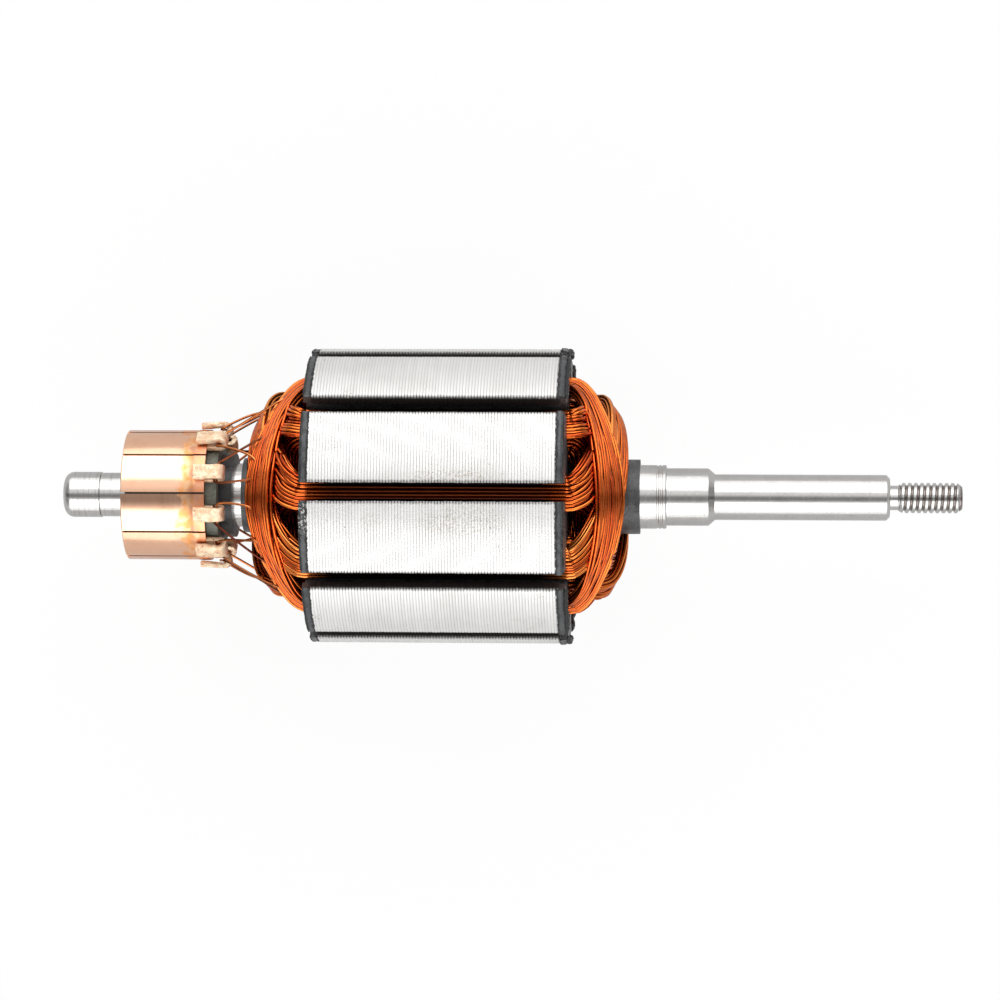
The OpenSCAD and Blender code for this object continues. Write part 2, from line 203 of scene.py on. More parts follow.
# ---------------------------------------------------------------- materials
class Nodes:
    """Short way to write a node tree."""

    def __init__(self, tree, output):
        self.t = tree
        tree.nodes.clear()
        self.out = self.node(output)

    def put(self, sock, v):
        """Links or sets an input; a number fills a vector, and a colour gets its alpha."""
        if isinstance(v, bpy.types.NodeSocket):
            self.t.links.new(v, sock)
        else:
            if hasattr(sock.default_value, "__len__"):
                size = len(sock.default_value)
                v = tuple(v) if hasattr(v, "__len__") else (v,) * size
                v += (1,) * (size - len(v))
            sock.default_value = v

    def node(self, kind, *inputs):
        """A new node, with its inputs given as pairs of socket and value."""
        n = self.t.nodes.new("ShaderNode" + kind)
        for sock, v in inputs:
            self.put(n.inputs[sock], v)
        return n

    def f(self, op, *values, clamp=False):
        n = self.node("Math")
        n.operation = op
        n.use_clamp = clamp
        for i, v in enumerate(values):
            self.put(n.inputs[i], v)
        return n.outputs[0]

    def mul(self, a, b):
        return self.f("MULTIPLY", a, b)

    def add(self, a, b, clamp=False):
        return self.f("ADD", a, b, clamp=clamp)

    def sub(self, a, b):
        return self.f("SUBTRACT", a, b)

    def step(self, v, lo, hi, a=0.0, b=1.0):
        """Goes smoothly from a to b while v goes from lo to hi."""
        n = self.node("MapRange", ("Value", v), ("From Min", lo), ("From Max", hi), ("To Min", a),
                      ("To Max", b))
        n.interpolation_type = "SMOOTHSTEP"
        return n.outputs[0]

    def mix(self, fac, a, b):
        n = self.t.nodes.new("ShaderNodeMix")
        n.data_type = "RGBA"
        for sock, v in ((0, fac), (6, a), (7, b)):
            self.put(n.inputs[sock], v)
        return n.outputs[2]

    def mix_shader(self, fac, a, b):
        return self.node("MixShader", (0, fac), (1, a.outputs[0]), (2, b.outputs[0]))

    def seen(self):
        """The light path's outputs, and 1 for what the camera sees, also through glass."""
        rays = self.node("LightPath").outputs
        return rays, self.f("MAXIMUM", rays["Is Camera Ray"], rays["Is Transmission Ray"])


class Mat(Nodes):
    """A principled material whose places x, y, z and r (from the shaft's axis) are in mm."""

    def __init__(self, name):
        self.m = bpy.data.materials.new(name)
        self.m.use_nodes = True
        super().__init__(self.m.node_tree, "OutputMaterial")
        self.b = self.node("BsdfPrincipled")
        self.put(self.out.inputs[0], self.b.outputs[0])
        scaled = self.node("VectorMath", (0, self.node("TexCoord").outputs["Object"]))
        scaled.operation = "SCALE"
        self.put(scaled.inputs["Scale"], 1000.0)
        self.mm = scaled.outputs[0]
        self.x, self.y, self.z = self.node("SeparateXYZ", (0, self.mm)).outputs
        self.r = self.f("SQRT", self.add(self.mul(self.y, self.y), self.mul(self.z, self.z)))

    def stretched(self, sx, sy, sz):
        """The place with x, y and z each scaled, for noise drawn out along or round the shaft."""
        scaled = [v if s == 1 else self.mul(v, s) for v, s in ((self.x, sx), (self.y, sy), (self.z, sz))]
        return self.node("CombineXYZ", *enumerate(scaled)).outputs[0]

    def noise(self, scale, detail, rough, at=None):
        n = self.node("TexNoise", ("Vector", self.mm if at is None else at),
                      ("Scale", scale), ("Detail", detail), ("Roughness", rough))
        return n.outputs["Fac"]

    def spot(self, x, y, rx, ry, lo, hi, amount):
        """A soft oval mark on the side that faces the photo's camera."""
        dx = self.f("DIVIDE", self.sub(self.x, x), rx)
        dy = self.f("DIVIDE", self.sub(self.y, y), ry)
        near = self.step(self.add(self.mul(dx, dx), self.mul(dy, dy)), lo, hi, amount, 0.0)
        return self.mul(near, self.step(self.z, 20.0, 24.0))

    def closest(self, x1, x2):
        """Distance in x from the nearer of two planes."""
        return self.f("MINIMUM", self.f("ABSOLUTE", self.sub(self.x, x1)),
                      self.f("ABSOLUTE", self.sub(self.x, x2)))

    def bump(self, height, strength, dist_mm):
        n = self.node("Bump", ("Strength", strength), ("Distance", dist_mm * MM), ("Height", height))
        self.put(self.b.inputs["Normal"], n.outputs[0])

    def set(self, **kw):
        for k, v in kw.items():
            self.put(self.b.inputs[k.replace("_", " ")], v)


def mat_steel(name, base, rough):
    """Bright turned steel: rings, smears and spots, a worn journal and dark thread roots."""
    m = Mat(name)
    rings = m.noise(2.2, 4, 0.7, m.stretched(1, 0.02, 0.02))
    fine = m.noise(9.0, 2, 0.6, m.stretched(1, 0.05, 0.05))
    cloud = m.noise(0.28, 4, 0.6)
    smear = m.noise(0.9, 4, 0.65, m.stretched(0.4, 1, 1))
    spots = m.step(m.noise(1.7, 3, 0.6), 0.65, 0.73)
    journal = m.step(m.x, -113.5, -114.5)
    worn = m.mul(journal, m.step(rings, 0.5, 0.62))
    col = m.mix(m.step(cloud, 0.35, 0.75, 0, 0.3), base, tuple(c * 0.76 for c in base))
    col = m.mix(m.step(smear, 0.56, 0.72, 0, 0.35), col, (0.40, 0.36, 0.31))
    col = m.mix(m.mul(spots, 0.6), col, (0.17, 0.15, 0.13))
    col = m.mix(m.step(rings, 0.35, 0.7, 0.0, 0.25), col, tuple(c * 0.72 for c in base))
    col = m.mix(m.mul(worn, 0.4), col, (0.30, 0.285, 0.26))
    root = m.mul(m.step(m.x, 48.2, 48.5), m.step(m.r, 2.60, 2.92, 0.75, 0.0))
    col = m.mix(root, col, (0.19, 0.145, 0.13))
    m.set(Base_Color=col, Metallic=1.0, Roughness=m.add(m.step(rings, 0.3, 0.75, rough - 0.04, rough + 0.08),
                                                        m.mul(spots, 0.2)))
    m.bump(m.add(m.mul(rings, 0.6), fine), 0.16, 0.02)
    return m.m


def mat_lamination():
    m = Mat("lamination_ground_steel")
    sheet = m.f("FLOOR", m.f("DIVIDE", m.add(m.x, CORE_FAR), SHEET_T))
    tone = m.noise(3.1, 0, 0.5, m.node("CombineXYZ", (0, m.mul(sheet, 1.37))).outputs[0])
    cloud = m.noise(0.10, 2, 0.5)
    grind = m.noise(6.0, 3, 0.7, m.stretched(0.06, 1, 1))
    specks = m.step(m.noise(1.15, 4, 0.7), 0.675, 0.72)
    fleck = m.noise(2.3, 4, 0.7)
    col = m.mix(m.step(tone, 0.3, 0.7, 0, 0.35), (0.84, 0.835, 0.82), (0.70, 0.695, 0.685))
    col = m.mix(m.step(cloud, 0.4, 0.8, 0, 0.25), col, (0.52, 0.50, 0.47))
    # brownish handling stains, strongest on two neighbouring teeth
    stain = m.f("MAXIMUM", m.spot(-43.5, 3.2, 9.0, 1.6, 0.2, 1.3, 1.0),
                m.spot(-40.5, -6.0, 9.0, 3.6, 0.2, 1.3, 0.8))
    broad = m.step(m.noise(0.16, 2, 0.5), 0.60, 0.72, 0.0, 0.55)
    stain = m.mul(m.f("MAXIMUM", stain, broad), m.step(fleck, 0.47, 0.60))
    col = m.mix(m.mul(stain, 0.5), col, (0.36, 0.27, 0.18))
    col = m.mix(m.mul(specks, 0.8), col, (0.12, 0.10, 0.09))
    groove = m.f("PINGPONG", m.add(m.x, CORE_FAR), SHEET_T / 2)
    # the sheets' burred edges along the slot mouths
    turn = m.f("PINGPONG", m.f("ARCTAN2", m.y, m.z), PITCH / 2)
    edge = m.mul(m.sub(turn, MOUTH_HALF), CORE_R)
    burr = m.step(m.add(edge, m.mul(m.sub(tone, 0.5), 0.5)), 0.15, 0.75, 1.0, 0.0)
    col = m.mix(m.mul(burr, 0.62), col, (0.15, 0.145, 0.14))
    lines = m.add(m.step(groove, 0.0, 0.2, 0.16, 0.0), m.mul(burr, m.step(groove, 0.05, 0.2, 0.7, 0.0)),
                  clamp=True)
    col = m.mix(lines, col, (0.12, 0.115, 0.11))
    # coating crept over the first sheets at both ends
    ends = m.closest(-CORE_NEAR - 0.4, -CORE_FAR)
    crept = m.step(m.add(ends, m.mul(m.noise(1.6, 3, 0.6), 0.7)), 0.42, 0.62, 1.0, 0.0)
    # painted shade: below the outer edge, the tooth tips' steel walls in the slot mouths are painted nearly
    # black; crept adds the real coating over the end sheets
    deep = m.f("MAXIMUM", m.step(m.r, CORE_R - 0.75, CORE_R - 0.3, 1.0, 0.0), crept)
    col = m.mix(deep, col, (0.018, 0.016, 0.015))
    m.set(Base_Color=col, Metallic=m.mul(m.sub(1.0, deep), 0.5),
          Roughness=m.add(m.step(grind, 0.3, 0.7, 0.38, 0.5), m.mul(deep, 0.15)))
    m.bump(grind, 0.25, 0.03)
    return m.m


def mat_coating(name="epoxy_coating_grey", base=(0.05, 0.053, 0.055)):
    m = Mat(name)
    lump = m.noise(0.55, 4, 0.55)
    grain = m.noise(3.2, 4, 0.65)
    scuff = m.step(m.noise(0.9, 5, 0.7, m.stretched(3.0, 1, 1)), 0.58, 0.70)
    blotch_and_edge_shade = m.step(m.noise(0.35, 3, 0.6), 0.5, 0.7)
    # pale rub marks on one tooth at the commutator end
    rub = m.spot(-73.2, -5.2, 2.2, 3.4, 0.5, 1.2, 1.0)
    rub = m.mul(rub, m.step(m.noise(1.6, 4, 0.7), 0.50, 0.60))
    col = m.mix(m.step(grain, 0.35, 0.7, 0, 0.6), base, tuple(c * 2.0 for c in base))
    # the two bands round the core: satin in the middle; towards the edges, painted shade, nearly black and
    # ragged, and a painted highlight strip
    band = m.closest(0.42 - CORE_NEAR, -CORE_FAR - 0.75)
    # painted shade towards the bands' edges
    rim = m.step(m.add(band, m.mul(m.sub(lump, 0.5), 0.9)), 0.28, 0.62)
    outer = m.step(m.r, CORE_R - 0.6, CORE_R - 0.3)
    rim = m.mul(rim, outer)
    # random dark blotches, joined with the painted edge shade
    blotch_and_edge_shade = m.f("MAXIMUM", m.mul(blotch_and_edge_shade, 0.6), m.mul(rim, 0.95))
    # painted highlight: a light grey strip on the bands
    painted_highlight_strip = m.mul(m.step(band, 0.62, 1.0), outer)
    col = m.mix(m.mul(painted_highlight_strip, 0.7), col, (0.23, 0.225, 0.215))
    col = m.mix(blotch_and_edge_shade, col, (0.008, 0.008, 0.009))
    col = m.mix(m.mul(scuff, 0.4), col, (0.24, 0.24, 0.23))
    col = m.mix(m.mul(rub, 0.85), col, (0.62, 0.61, 0.58))
    m.set(Base_Color=col, Metallic=0.0, Roughness=m.add(m.step(lump, 0.3, 0.7, 0.24, 0.40), m.mul(blotch_and_edge_shade, 0.3)),
          Specular_IOR_Level=0.45)
    m.bump(m.add(lump, m.mul(grain, 0.25)), 0.6, 0.35)
    return m.m


def mat_wire(name, light, deep, nooks=True):
    m = Mat(name)

    def stored(label):
        n = m.node("Attribute")
        n.attribute_name = label
        return n.outputs["Fac"]

    tone = stored("tone")
    cloud = m.noise(0.35, 3, 0.6)
    fine = m.noise(4.0, 3, 0.6)
    col = m.mix(tone, light, deep)
    col = m.mix(m.step(cloud, 0.45, 0.75, 0, 0.5), col, tuple(c * 0.6 for c in deep))
    col = m.mix(m.step(fine, 0.62, 0.8, 0, 0.25), col, (0.95, 0.42, 0.14))
    inside = 0.0
    if nooks:
        # gold on the lightest wires, and painted shade in dark red where neighbours close the gaps
        col = m.mix(m.step(tone, 0.0, 0.22, 0.55, 0.0), col, (1.0, 0.46, 0.13))
        # the slots: varnish with painted shade over it, dark brown at the mouth's middle and painted black
        # along its edges
        inside = m.mul(m.step(m.x, -CORE_FAR - 1.5, -CORE_FAR + 4.5),
                       m.step(m.x, -CORE_NEAR + 1.5, -CORE_NEAR - 4.5))
        aside = m.mul(m.f("PINGPONG", m.f("ARCTAN2", m.y, m.z), PITCH / 2), m.r)
        # painted shade from the nook value, weaker inside the slots
        shade = m.step(stored("nook"), 0.35, 1.0, 0.0, 0.9)
        col = m.mix(m.mul(shade, m.sub(1.0, m.mul(inside, 0.75))), col, (0.13, 0.012, 0.002))
        # painted shade in the slots, dark brown, lighter towards the core's ends
        col = m.mix(m.mul(inside, 0.7), col, (0.20, 0.045, 0.020))
        # painted shade: black next to the slot walls
        col = m.mix(m.mul(inside, m.step(aside, 1.0, 1.35)), col, (0.010, 0.005, 0.004))
    m.set(Base_Color=col, Metallic=0.95, Roughness=m.add(m.step(fine, 0.3, 0.8, 0.14, 0.26),
                                                         m.mul(inside, 0.22)), Coat_Weight=0.12,
          Coat_Roughness=0.08, Coat_IOR=1.55, Coat_Tint=(1.0, 0.72, 0.45))
    m.bump(m.noise(1.1, 2, 0.5), 0.12, 0.05)
    return m.m


def mat_bar():
    m = Mat("commutator_copper")
    ring = m.noise(3.0, 3, 0.7, m.stretched(1, 0.03, 0.03))
    cloud = m.noise(0.35, 4, 0.6)
    edge = m.noise(0.4, 1, 0.5)
    col = m.mix(m.step(cloud, 0.4, 0.8, 0, 0.45), (0.93, 0.56, 0.38), (0.86, 0.45, 0.28))
    along = m.add(m.x, m.mul(m.sub(edge, 0.5), 5.0))
    raw = m.step(along, -TRACK_END - 2.9, -TRACK_END - 1.5)
    past = m.step(along, -TRACK_END - 0.6, -TRACK_END + 0.8)
    orange = m.mix(m.step(m.noise(0.6, 2, 0.5), 0.35, 0.65), (0.97, 0.40, 0.14), (0.96, 0.56, 0.32))
    plain = m.mix(m.step(m.noise(0.8, 4, 0.65), 0.4, 0.65), (0.80, 0.33, 0.17), (0.74, 0.38, 0.24))
    col = m.mix(raw, col, orange)
    col = m.mix(past, col, plain)
    low = m.step(m.r, COMM_R - 1.4, COMM_R - 0.2, 0.85, 0.0)
    col = m.mix(low, col, (0.07, 0.035, 0.02))
    m.set(Base_Color=col, Metallic=1.0, Roughness=m.add(m.step(ring, 0.3, 0.75, 0.13, 0.22), m.mul(raw, 0.16)))
    m.bump(m.add(ring, m.mul(m.mul(raw, 1.5), m.noise(1.6, 3, 0.6))), 0.12, 0.04)
    return m.m


def mat_hook():
    m = Mat("hook_fused_copper")
    lump = m.noise(0.9, 4, 0.65)
    grain = m.noise(3.4, 4, 0.7)
    pits = m.step(m.noise(1.5, 4, 0.65), 0.60, 0.70)
    col = m.mix(m.step(lump, 0.38, 0.62), (0.97, 0.83, 0.61), (0.88, 0.57, 0.36))
    col = m.mix(m.mul(pits, 0.75), col, (0.20, 0.09, 0.05))
    m.set(Base_Color=col, Metallic=0.75, Roughness=m.step(grain, 0.3, 0.7, 0.38, 0.62))
    m.bump(m.add(lump, m.mul(grain, 0.4)), 1.0, 0.3)
    return m.m


def mat_plain(name, light, deep, rough):
    m = Mat(name)
    lump = m.noise(1.2, 4, 0.6)
    grain = m.noise(6.0, 3, 0.6)
    m.set(Base_Color=m.mix(m.step(lump, 0.3, 0.7), light, deep), Metallic=0.0,
          Roughness=m.step(grain, 0.3, 0.7, rough - 0.06, rough + 0.08))
    m.bump(m.add(lump, m.mul(grain, 0.5)), 0.3, 0.08)
    return m.m


STEEL = mat_steel("shaft_bright_steel", (0.60, 0.59, 0.575), 0.18)
LAM = mat_lamination()
COAT = mat_coating()
BEAD = mat_coating("coating_bead_black", (0.02, 0.021, 0.022))
SLEEVE = mat_coating("sleeve_insulation_grey", (0.05, 0.053, 0.055))
WIRE = mat_wire("enamelled_copper_wire", (1.0, 0.262, 0.040), (0.55, 0.058, 0.007))
LEAD = mat_wire("lead_copper_wire", (0.86, 0.30, 0.09), (0.12, 0.025, 0.012), False)
BAR = mat_bar()
HOOK = mat_hook()
RESIN = mat_plain("commutator_resin_grey", (0.11, 0.125, 0.105), (0.20, 0.215, 0.175), 0.5)
RING = mat_plain("black_ring_plastic", (0.012, 0.012, 0.013), (0.03, 0.03, 0.032), 0.38)


# ---------------------------------------------------------------- shaft, with its helical thread
def build_shaft():
    journal, groove, body, seat, output, neck = 4.7625, 4.6025, 6.65, 6.0, 4.7625, 2.55
    g = -118.5                               # where the journal steps down
    # rounded commutator end, journal and the step behind it
    prof = [(-126.7, 0.0), (-126.7, 1.2), (-126.7, 2.4)] + arc(-124.7, journal - 2.0, 2.0, 168, 92, 8)
    prof += [(-124.5, journal), (g - 0.42, journal), (g - 0.36, journal - 0.06), (g - 0.3, groove - 0.03),
             (g + 0.1, groove), (-113.5, groove), (-94.5, groove)]
    # body, with two fine scored lines before its end
    prof += [(-93.2, groove), (-93.2, body - 0.15), (-93.05, body), (-60, body), (-21.0, body), (-5.7, body)]
    prof += [(-2.12, body), (-2.0, body - 0.06), (-1.95, body - 0.12), (-1.62, body - 0.12),
             (-1.55, body - 0.05),
             (-1.48, body), (-1.2, body), (-1.15, body - 0.06), (-1.1, body - 0.12), (-0.86, body - 0.12),
             (-0.8, body - 0.04), (-0.72, body), (-0.22, body), (-0.05, body - 0.12), (0.0, body - 0.3)]
    # bearing seat, output shaft, its chamfer and the neck before the thread
    prof += [(0.0, seat + 0.06), (0.05, seat), (8.5, seat), (8.72, seat - 0.02), (8.85, seat - 0.1),
             (9.85, 5.02),
             (10.0, 4.95), (10.0, 4.80), (10.12, output), (28.0, output), (45.55, output), (45.72, 4.73),
             (46.3, 4.15), (46.4, 4.03), (46.4, 2.7), (46.48, 2.58), (46.65, neck), (48.05, neck)]
    v1, f1 = lathe(prof, 144)
    # thread: one start, with run-in and run-out
    x0, x1, pitch, rows, seg = 48.05, 61.4, 1.27, 260, 96
    crest, root = 3.165, 2.60
    X, T = np.meshgrid(np.linspace(x0, x1, rows), np.linspace(0, 2 * math.pi, seg, endpoint=False),
                       indexing="ij")
    phase = ((X - 49.0) / pitch - T / (2 * math.pi)) % 1.0
    r = root + (crest - root) * np.clip((np.abs(phase - 0.5) * 2 - 0.12) / 0.5, 0, 1) ** 0.8
    r = np.minimum(r, neck + (crest - neck) * np.clip((X - x0) / 0.9, 0, 1))
    r = np.minimum(r, crest - 0.8 + 0.8 * np.clip((x1 - X) / 0.95, 0, 1))
    v2 = np.stack([X, r * np.sin(T), r * np.cos(T)], -1).reshape(-1, 3)
    f2 = grid_faces(rows, seg)[:, ::-1] + len(v1)
    tip = len(v1) + len(v2)
    last = tip - seg
    f3 = [(last + (i + 1) % seg, last + i, tip) for i in range(seg)]
    make("shaft_turned", np.concatenate([v1, v2, [[x1, 0, 0]]]), f1.tolist() + f2.tolist() + f3, STEEL,
         sharp=28, replaces="shaft")


# ---------------------------------------------------------------- laminations
def on_wall(c, r, side):
    """Point at radius r on the wall of the slot at angle c: side 1 starts a tooth, -1 ends one."""
    h = side * MOUTH_W / 2
    u = math.sqrt(r * r - h * h)
    return (h * math.cos(c) + u * math.sin(c), u * math.cos(c) - h * math.sin(c))


def build_laminations():
    """The teeth's outsides, as rows of points along X; between two sheets the rows dip into a groove."""
    rng = np.random.default_rng(7)
    walls = (28.3, 29.5, CORE_R - 0.32)
    burr = [(0.05, 0.17), (0.17, 0.07), (0.42, 0.02), (0.85, 0.0)]       # distance from the mouth, and depth
    n = 10
    pts, nrm = [], []
    for k in range(SLOTS):
        c0, c1 = k * PITCH, (k + 1) * PITCH
        a0, a1 = c0 + MOUTH_HALF, c1 - MOUTH_HALF
        for r in walls:
            pts.append(on_wall(c0, r, 1))
            nrm.append((-math.cos(c0), math.sin(c0)))
        spots = [(a0 + e / CORE_R, d) for e, d in burr]
        spots += [(a0 + (a1 - a0) * j / n, 0.0) for j in range(1, n)]
        spots += [(a1 - e / CORE_R, d) for e, d in burr[::-1]]
        for a, d in spots:
            pts.append(((CORE_R - d) * math.sin(a), (CORE_R - d) * math.cos(a)))
            nrm.append((math.sin(a), math.cos(a)))
        for r in walls[::-1]:
            pts.append(on_wall(c1, r, -1))
            nrm.append((math.cos(c1), -math.sin(c1)))
    pts, nrm = np.array(pts), np.array(nrm)
    m = len(pts)
    radial = np.abs((nrm * unit(pts)).sum(1))
    rows = [(-CORE_FAR, pts - nrm * 0.6)]
    for s in range(SHEETS):
        x = -CORE_FAR + s * SHEET_T
        turn = rng.normal(0, 0.0009)
        grow = rng.normal(0, 0.006) - 0.012
        co, si = math.cos(turn), math.sin(turn)
        p = np.stack([pts[:, 0] * co + pts[:, 1] * si, pts[:, 1] * co - pts[:, 0] * si], -1)
        shift = rng.normal(0, 0.012, m)
        q = p + nrm * (grow * (radial > 0.5) + shift * (radial < 0.5))[:, None]
        gap = 0.07 + 0.025 * rng.random()
        rows += [(x, q - nrm * 0.07), (x + gap, q), (x + SHEET_T - gap, q)]
    rows += [(-CORE_NEAR, pts - nrm * 0.16), (-CORE_NEAR, pts - nrm * 0.6)]
    v = np.concatenate([np.concatenate([np.full((m, 1), x), p], 1) for x, p in rows])
    # each tooth is a strip of its own: teeth aren't joined to each other across the slot mouths
    per_tooth = m // SLOTS
    faces = []
    for r in range(len(rows) - 1):
        for k in range(SLOTS):
            for j in range(per_tooth - 1):
                a = r * m + k * per_tooth + j
                faces.append((a, a + m, a + m + 1, a + 1))
    make("laminations", v, faces, LAM, sharp=25, replaces="lamination_stack")


# ---------------------------------------------------------------- winding
def ease(t):
    return t * t * (3 - 2 * t)


def half_turn(k, side, up):
    """Bezier points of half an end turn, from its slot to the middle; side -1 leads and 1 trails."""
    slot = np.array([side * SIDE_R[up] * math.sin(SPAN), SIDE_R[up] * math.cos(SPAN), 0.0])
    rise = LEAD_RISE[k] if side < 0 else TRAIL_RISE[k]
    run = side * (LEAD_RUN[k] if side < 0 else TRAIL_RUN[k])
    top = np.array([0, TURN_HEIGHT[k], TURN_REACH[k]])
    return slot, slot + [0, 0, rise], top + [run, run * TURN_SLOPE[k], run * TURN_CLIMB[k]], top


def on_curve(p, t):
    return (1 - t) ** 3 * p[0] + 3 * (1 - t) ** 2 * t * p[1] + 3 * (1 - t) * t * t * p[2] + t ** 3 * p[3]


def heading(p, t):
    return unit((1 - t) ** 2 * (p[1] - p[0]) + 2 * (1 - t) * t * (p[2] - p[1]) + t * t * (p[3] - p[2]))


def section_frame(k, side, up, t):
    """Centre, wide and high directions, half width, half height, flare and ease at share t of a half turn."""
    p = half_turn(k, side, up)
    w = ease(t)
    along = -side * heading(p, t)
    lean = math.radians(TURN_LEAN[k])
    slot_dir = np.array([side * math.cos(SPAN), -math.sin(SPAN), 0])
    mid_dir = np.array([0, -math.cos(lean), math.sin(lean)])
    blend = slot_dir * (1 - w) + mid_dir * w
    wide = unit(blend - (blend @ along) * along)
    a = math.exp(math.log(SIDE_W[up]) * (1 - w) + math.log(TURN_HALF_W[k]) * w)
    b = math.exp(math.log(SIDE_H[up]) * (1 - w) + math.log(SECTION / TURN_HALF_W[k]) * w)
    return on_curve(p, t), wide, np.cross(wide, along), a, b, (1 - w) * SIDE_FLARE[up], w


def placed(v, angle, x0, scale):
    """Takes points from a coil's or bar's own frame (across, out, along) to the part's."""
    v = np.asarray(v)
    co, si = math.cos(angle), math.sin(angle)
    return np.stack([x0 + scale * v[..., 2], v[..., 1] * si + v[..., 0] * co, v[..., 1] * co - v[..., 0] * si],
                    -1)


def layer_of(i):
    return 4 - i % 5


def nest(count, half_w, half_h, flare):
    """Places for the wires of one section: as many staggered rows as bring them nearest to touching."""
    a, b = half_w - WIRE_D / 2, half_h - WIRE_D / 2
    best = None
    for rows in range(1, 9):
        if rows > 1 and 2 * b / (rows - 1) < 0.62 * WIRE_D:
            continue
        gap = 2 * a / max(count / rows - 1, 1)
        score = abs(math.log(gap / (1.05 * WIRE_D)))
        if best is None or score < best[0]:
            best = (score, rows)
    rows = best[1]
    out = []
    for r in range(rows):
        y = -b + 2 * b * r / (rows - 1) if rows > 1 else 0
        wid = a * (1 + flare * y / b)
        n = count // rows + (1 if r < count % rows else 0)
        shrink = 1 - 0.5 / n if r % 2 else 1
        for c in range(n):
            u = (c / (n - 1) * 2 - 1) * shrink if n > 1 else 0
            out.append((u * wid, y))
    return np.array(out)


def matched(slot, mid):
    """Sorts the places at the slot and at the middle across the bundle: a wire has the same rank at both."""
    a = np.lexsort((slot[:, 1], np.round(slot[:, 0], 2)))
    b = np.lexsort((mid[:, 1], np.round(mid[:, 0], 2)))
    return slot[a], mid[b]


def smooth_noise(n, knots, amp, gen):
    """Closed wavering line of n values."""
    k = gen.normal(0, 1, knots)
    x = np.linspace(0, knots, n, endpoint=False)
    i = np.floor(x).astype(int)
    f = ease(x - i)
    return amp * (k[i % knots] * (1 - f) + k[(i + 1) % knots] * f)


def coil_paths(i):
    """One coil's turns: centre lines, outward directions along them, and each wire's tone."""
    k = layer_of(i)
    ang = i * PITCH
    gen = np.random.default_rng(100 + i)
    steps, straight, relax, smoothing = 13, 5, 40, 34
    st = [(-1, LEAD_UPPER[k], j / steps) for j in range(steps + 1)]
    st += [(1, TRAIL_UPPER[k], 1 - j / steps) for j in range(1, steps + 1)]
    frames = [section_frame(k, s, u, t) + (u,) for s, u, t in st]
    mid = nest(TURNS, TURN_HALF_W[k], SECTION / TURN_HALF_W[k], 0)
    order = {}
    for u in (LEAD_UPPER[k], TRAIL_UPPER[k]):
        order[u], mid_xy = matched(nest(TURNS, SIDE_W[u], SIDE_H[u], SIDE_FLARE[u]), mid)
    total = 2 * len(frames) + 2 * straight

    def sways(count, knots, amp):
        return np.stack([smooth_noise(total, knots, amp, gen) for _ in range(count)])

    wx, wy = sways(TURNS, 16, 0.26), sways(TURNS, 16, 0.18)
    # the strands hang together in locks, which sway as one
    across = (mid_xy[:, 0] / TURN_HALF_W[k] + 1) * 2.2 + 0.25 * gen.normal(size=TURNS)
    lock = np.floor(across).astype(int) % LOCKS
    wx = wx + sways(LOCKS, 9, 0.75)[lock]
    wy = wy + sways(LOCKS, 9, 0.45)[lock]

    def stations(x0, scale):
        return [tuple(placed(v, ang, x, scale) for v, x in zip(f, (x0, 0, 0))) + f[3:] for f in frames]

    def through_slot(p, q):
        """Straight stations between the last of one end turn and the first of the other."""
        out = []
        for j in range(1, straight + 1):
            s = j / (straight + 1)
            out.append(tuple(u * (1 - s) + v * s for u, v in zip(p[:3], q[:3])) + p[3:6] + (0.0, p[7]))
        return out

    near = stations(-CORE_NEAR + COAT_T, 1)
    far = stations(-CORE_FAR - COAT_T, -FULLER)[::-1]
    loop = near + through_slot(near[-1], far[0]) + far + through_slot(far[-1], near[0])
    centre, wide, high, a, b, flare, w, upper = zip(*loop)
    centre, wide, high = (np.stack(v)[:, None] for v in (centre, wide, high))
    a, b, flare = (np.array(v)[:, None] for v in (a, b, flare))
    w = np.array(w)[:, None, None]
    sway = np.stack([wx, wy], -1).transpose(1, 0, 2)
    xy = np.stack([order[u] for u in upper]) * (1 - w) + mid_xy[None] * w
    xy = xy + sway * (0.35 + 0.65 * w) + gen.normal(0, 1e-3, (total, TURNS, 2))
    for step in range(relax):
        # pushes the wires apart and smooths them, then holds them in the section; some still overlap
        d = xy[:, :, None, :] - xy[:, None, :, :]
        L = np.maximum(np.linalg.norm(d, axis=-1), 1e-4) + np.eye(TURNS) * 9
        push = np.clip(WIRE_D - L, 0, None)
        xy = xy + (d / L[..., None] * push[..., None] * 0.45).sum(2)
        if step < smoothing:
            xy = 0.5 * xy + 0.25 * (np.roll(xy, 1, 0) + np.roll(xy, -1, 0))
        y = np.clip(xy[..., 1], -(b - WIRE_D / 2), b - WIRE_D / 2)
        lim = np.maximum(a * (1 + flare * y / b) - WIRE_D / 2, 0.1)
        xy = np.stack([np.clip(xy[..., 0], -lim, lim), y], -1)
    paths = (centre + xy[..., :1] * wide + xy[..., 1:] * high).transpose(1, 0, 2)
    ups = np.repeat(unit(high), TURNS, 1).transpose(1, 0, 2)
    tone = np.clip(0.15 + 0.7 * gen.random(LOCKS)[lock] + 0.35 * (gen.random(TURNS) - 0.5), 0, 1)
    return paths, ups, tone


def refine(p):
    """Closed curve with a point added between each two, by a four-point rule."""
    half = (-np.roll(p, 1, 0) + 9 * p + 9 * np.roll(p, -1, 0) - np.roll(p, -2, 0)) / 16
    return np.stack([p, half], 1).reshape(-1, p.shape[-1])


def keep(ob, label, per_vert):
    at = ob.data.attributes.new(label, "FLOAT", "POINT")
    at.data.foreach_set("value", np.asarray(per_vert, np.float32).ravel())


